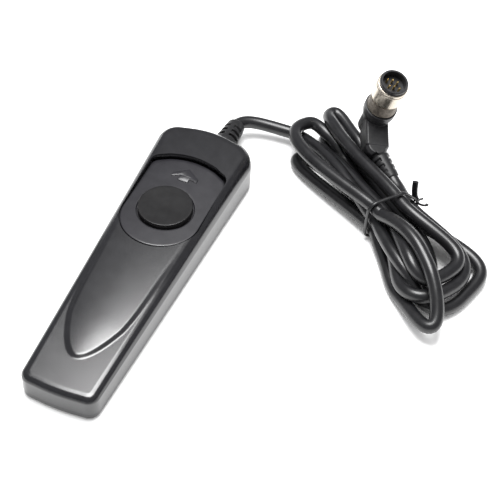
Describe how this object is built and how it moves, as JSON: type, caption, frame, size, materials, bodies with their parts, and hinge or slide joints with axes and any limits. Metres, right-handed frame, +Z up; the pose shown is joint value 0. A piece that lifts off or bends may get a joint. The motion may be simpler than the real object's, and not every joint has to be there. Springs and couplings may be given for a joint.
{
  "type": "cable shutter release",
  "caption": "Wired remote shutter release: handset with a press button in a sliding lock plate, a tied cable, and a right-angle multi-pin plug with a knurled coupling ring.",
  "frame": {"origin": "centre of the handset's footprint, on the table", "axes": "+Y along the handset towards its cable end, +Z up from the table, +X to the right seen from above"},
  "size_m": [0.1127, 0.1405, 0.0371],
  "materials": {
    "cover_plastic": "satin, fine grain",
    "slider_plastic": "satin",
    "button_plastic": "matte",
    "steel_screw": "zinc plated",
    "spring_steel": "drawn wire",
    "leaf_bronze": "rolled strip",
    "fibre_board": "pressed fibre",
    "wire_colours": "extruded insulation",
    "boot_rubber": "satin",
    "cable_jacket": "semi-gloss extruded",
    "tie_plastic": "semi-gloss",
    "plug_rubber": "satin moulded",
    "ring_nickel": "satin nickel plate",
    "shell_nickel": "nickel plate",
    "insulator_black": "moulded",
    "pin_gold": "gold plate"
  },
  "bodies": {
    "case": {"top_cover": "cover_plastic", "bottom_cover": "cover_plastic", "case_screws": "steel_screw", "spring_bridge": "spring_steel", "bridge_screws": "steel_screw", "shutter_leaf": "leaf_bronze", "leaf_terminals": "leaf_bronze", "leaf_spacers": "fibre_board", "stack_screws": "steel_screw", "inner_wires": "wire_colours", "cable_clamp": "slider_plastic", "clamp_screws": "steel_screw", "cable_boot": "boot_rubber", "cable_jacket": "cable_jacket", "twist_tie": "tie_plastic", "plug_body": "plug_rubber", "plug_shell": "shell_nickel", "contact_insulator": "insulator_black", "contact_pins": "pin_gold", "retaining_ring": "spring_steel", "plug_wires": "wire_colours"},
    "slider": {"lock_slider": "slider_plastic", "return_spring": "spring_steel"},
    "button": {"shutter_button": "button_plastic"},
    "common_blade": {"common_leaf": "leaf_bronze"},
    "focus_blade": {"focus_leaf": "leaf_bronze"},
    "ring": {"coupling_ring": "ring_nickel"}
  },
  "joints": [
    {"name": "lock_slide", "type": "slide", "parent": "case", "child": "slider", "axis": [0, 1, 0], "range_m": [0, 0.002]},
    {"name": "button_press", "type": "slide", "parent": "slider", "child": "button", "axis": [0, 0, -1], "range_m": [0, 0.0013], "stiffness_N_per_m": 600, "springref_m": -0.0015, "deforming": ["return_spring"]},
    {"name": "common_leaf_flex", "type": "hinge", "parent": "case", "child": "common_blade", "pos_m": [0, -0.0048, 0.00535], "axis": [-1, 0, 0], "range_deg": [0, 3.6]},
    {"name": "focus_leaf_flex", "type": "hinge", "parent": "case", "child": "focus_blade", "pos_m": [0, -0.0048, 0.00415], "axis": [-1, 0, 0], "range_deg": [0, 1.6]},
    {"name": "coupling_ring_turn", "type": "hinge", "parent": "case", "child": "ring", "pos_m": [0.04774, 0.07818, 0.02281], "axis": [0.2424, -0.1815, 0.9531], "continuous": true}
  ],
  "couplings": [
    {"joint": "common_leaf_flex", "follows": "button_press", "rad_per_m": 47.5},
    {"joint": "focus_leaf_flex", "follows": "button_press", "rad_per_m": 20.6}
  ]
}
